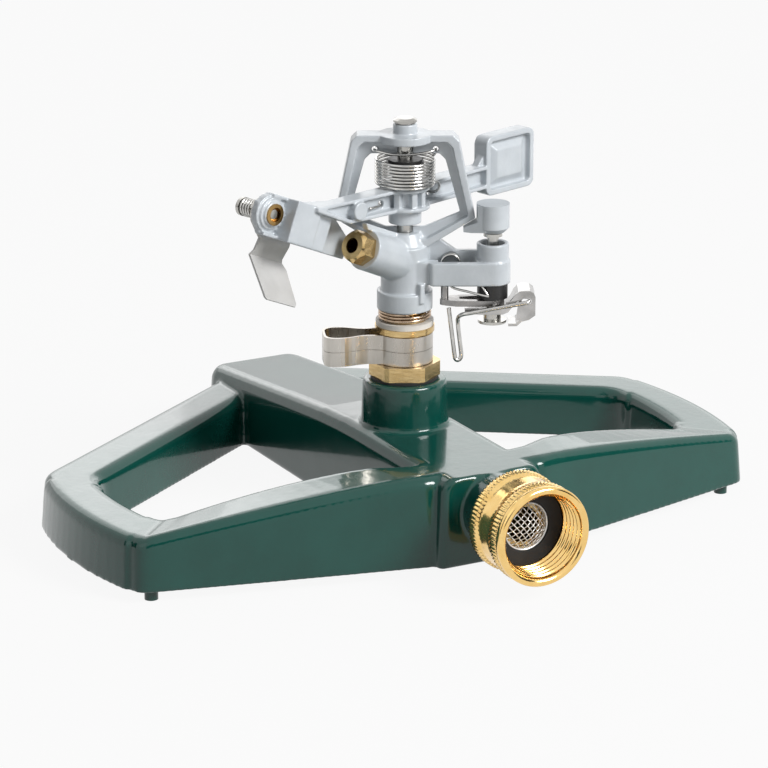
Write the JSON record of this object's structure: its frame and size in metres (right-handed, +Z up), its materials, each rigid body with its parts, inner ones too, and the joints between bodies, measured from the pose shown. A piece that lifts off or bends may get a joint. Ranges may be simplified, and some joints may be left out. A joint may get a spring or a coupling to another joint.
{
  "type": "impulse sprinkler",
  "caption": "Metal impulse lawn sprinkler with a rotating sprung-arm head on a low cast base with two open wings and a hose coupling.",
  "frame": {"origin": "on the floor, under the centre of the footprint", "axes": "+Z up, -Y towards the hose coupling, X across the two wings"},
  "size_m": [0.2476, 0.2126, 0.142],
  "materials": {
    "green_paint": "gloss",
    "zinc_paint": "satin",
    "brass": "polished",
    "steel": "satin",
    "wire_steel": "polished",
    "bronze": "satin",
    "rubber": "matte",
    "dark_plastic": "matte",
    "white_plastic": "matte",
    "dark_steel": "satin"
  },
  "bodies": {
    "base": {"base_casting": "green_paint", "base_feet": "rubber", "inlet_nipple": "brass", "sleeve_gasket": "rubber", "bearing_sleeve": "brass"},
    "coupling": {"coupling_nut": "brass", "inlet_washer": "rubber", "inlet_screen": "wire_steel"},
    "lower_collar": {"lower_collar": "steel"},
    "upper_collar": {"upper_collar": "steel"},
    "head": {"bearing_tube": "brass", "thrust_washers": "white_plastic", "riser_washer": "white_plastic", "riser_spring": "bronze", "head_body": "zinc_paint", "nozzle": "brass", "fulcrum_pin": "steel", "arm_spring": "wire_steel", "spring_bushing": "dark_plastic", "trip_bushing": "dark_plastic", "toggle_spring": "wire_steel"},
    "arm": {"impulse_arm": "zinc_paint", "arm_bushings": "dark_plastic", "screw_insert": "brass", "diffuser_spring": "wire_steel", "flap_washer": "steel"},
    "screw": {"diffuser_screw": "steel"},
    "flap": {"deflector_flap": "steel"},
    "trip": {"trip_shaft": "steel", "trip_striker": "zinc_paint", "trip_arm": "dark_steel", "trip_clip": "wire_steel", "shaft_washer": "steel"},
    "wire": {"trip_wire": "wire_steel"}
  },
  "joints": [
    {"name": "coupling_swivel", "type": "hinge", "parent": "base", "child": "coupling", "pos_m": [0, -0.01075, 0.023], "axis": [0, -1, 0], "continuous": true},
    {"name": "lower_collar_turn", "type": "hinge", "parent": "base", "child": "lower_collar", "pos_m": [0, -0.01075, 0.0597], "axis": [0, 0, 1], "range_deg": [-30, 30]},
    {"name": "upper_collar_turn", "type": "hinge", "parent": "base", "child": "upper_collar", "pos_m": [0, -0.01075, 0.0648], "axis": [0, 0, 1], "range_deg": [-30, 30]},
    {"name": "head_turn", "type": "hinge", "parent": "base", "child": "head", "pos_m": [0, -0.01075, 0.08], "axis": [0, 0, 1], "range_deg": [-122, 172]},
    {"name": "arm_swing", "type": "hinge", "parent": "head", "child": "arm", "pos_m": [0, -0.01075, 0.11075], "axis": [0, 0, 1], "range_deg": [-20, 0], "stiffness_Nm_per_rad": 0.01, "springref_deg": 20.05, "deforming": ["arm_spring"]},
    {"name": "screw_feed", "type": "slide", "parent": "arm", "child": "screw", "axis": [0.2924, -0.9563, 0], "range_m": [0, 0.0025], "deforming": ["diffuser_spring"]},
    {"name": "flap_tilt", "type": "hinge", "parent": "arm", "child": "flap", "pos_m": [-0.05669, -0.01794, 0.11826], "axis": [-0.2924, 0.9563, 0], "range_deg": [0, 75]},
    {"name": "trip_swing", "type": "hinge", "parent": "head", "child": "trip", "pos_m": [0.02482, -0.02734, 0.08545], "axis": [0, 0, 1], "range_deg": [-20, 0], "deforming": ["toggle_spring"]},
    {"name": "wire_flip", "type": "hinge", "parent": "trip", "child": "wire", "pos_m": [0.01662, -0.03125, 0.077], "axis": [-0.8667, 0.4608, -0.1908], "range_deg": [0, 90]}
  ]
}
